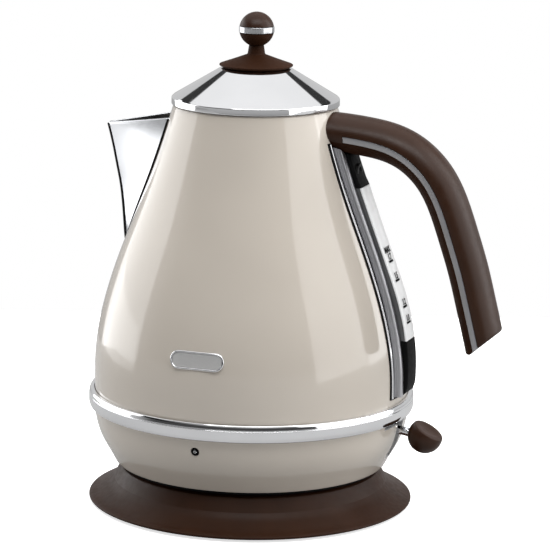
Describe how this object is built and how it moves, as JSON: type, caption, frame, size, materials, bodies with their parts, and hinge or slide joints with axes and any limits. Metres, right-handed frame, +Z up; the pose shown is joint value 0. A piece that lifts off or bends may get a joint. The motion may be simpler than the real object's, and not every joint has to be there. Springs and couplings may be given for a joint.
{
  "type": "electric kettle",
  "caption": "Cordless electric kettle: tapered enamelled jug with chrome spout, belt and lid, curved handle, level gauge and lever, lifting off a round power base.",
  "frame": {"origin": "middle of the overall box, on the surface that the base stands on", "axes": "+Z up, +X towards the handle, -X towards the spout, -Y towards the side with the badge and the lamp"},
  "size_m": [0.2421, 0.188, 0.2839],
  "materials": {
    "enamel": "cream gloss enamel on steel",
    "chrome": "mirror chrome",
    "steel": "plain stainless steel",
    "brown": "satin dark brown plastic",
    "black": "black moulded plastic",
    "rubber": "black silicone rubber",
    "brass": "contact brass",
    "clear": "frosted clear plastic",
    "gauze": "fine steel gauze"
  },
  "bodies": {
    "power_base": {"base_cover": "brown", "base_underplate": "black", "cord_inlet": "rubber", "connector_post": "black", "contact_sleeve_outer": "brass", "contact_sleeve_inner": "brass", "earth_sleeve": "brass", "foot_1": "rubber", "foot_2": "rubber", "foot_3": "rubber", "foot_4": "rubber", "base_screw_1": "steel", "base_screw_2": "steel", "base_screw_3": "steel"},
    "socket": {"kettle_socket": "black", "socket_contact_ring": "brass", "socket_earth_pin": "brass"},
    "jug": {"body_shell": "enamel", "mouth_collar": "black", "belt_ring": "chrome", "lower_skirt": "enamel", "kettle_underplate": "black", "underplate_screw_1": "steel", "underplate_screw_2": "steel", "underplate_screw_3": "steel", "heater_plate": "steel", "heater_seal": "rubber", "heating_element": "steel", "control_unit": "black", "spout": "chrome", "badge_frame": "chrome", "badge_plate": "steel", "lamp_bezel": "black", "lamp_lens": "clear", "handle_outer_shell": "brown", "handle_trim_band": "chrome", "handle_inner_shell": "brown", "handle_bracket": "steel", "handle_screw_1": "steel", "handle_screw_2": "steel", "gauge_frame": "chrome", "gauge_window": "clear", "gauge_cap_top": "black", "gauge_cap_bottom": "black", "gauge_seal_top": "rubber", "gauge_seal_bottom": "rubber", "lever_pin": "steel"},
    "lid": {"lid_cover": "chrome", "lid_inner": "black", "lid_seal": "rubber", "knob_saucer": "brown", "knob_ball_lower": "brown", "knob_band": "chrome", "knob_ball_upper": "brown", "knob_screw": "steel"},
    "filter": {"filter_frame": "black", "filter_mesh": "gauze"},
    "lever": {"lever_yoke": "black", "lever_stem": "chrome", "lever_knob": "brown"}
  },
  "joints": [
    {"name": "kettle_lift", "type": "slide", "parent": "power_base", "child": "socket", "axis": [0, 0, 1], "range_m": [0, 0.09]},
    {"name": "kettle_swivel", "type": "hinge", "parent": "socket", "child": "jug", "pos_m": [-0.0276, 0, 0.03], "axis": [0, 0, 1], "continuous": true},
    {"name": "lid_lift", "type": "slide", "parent": "jug", "child": "lid", "axis": [0, 0, 1], "range_m": [0, 0.06]},
    {"name": "filter_pull", "type": "slide", "parent": "jug", "child": "filter", "axis": [1, 0, 0], "range_m": [0, 0.025]},
    {"name": "lever_press", "type": "hinge", "parent": "jug", "child": "lever", "pos_m": [0.0524, 0, 0.05], "axis": [0, 1, 0], "range_deg": [0, 12]}
  ]
}
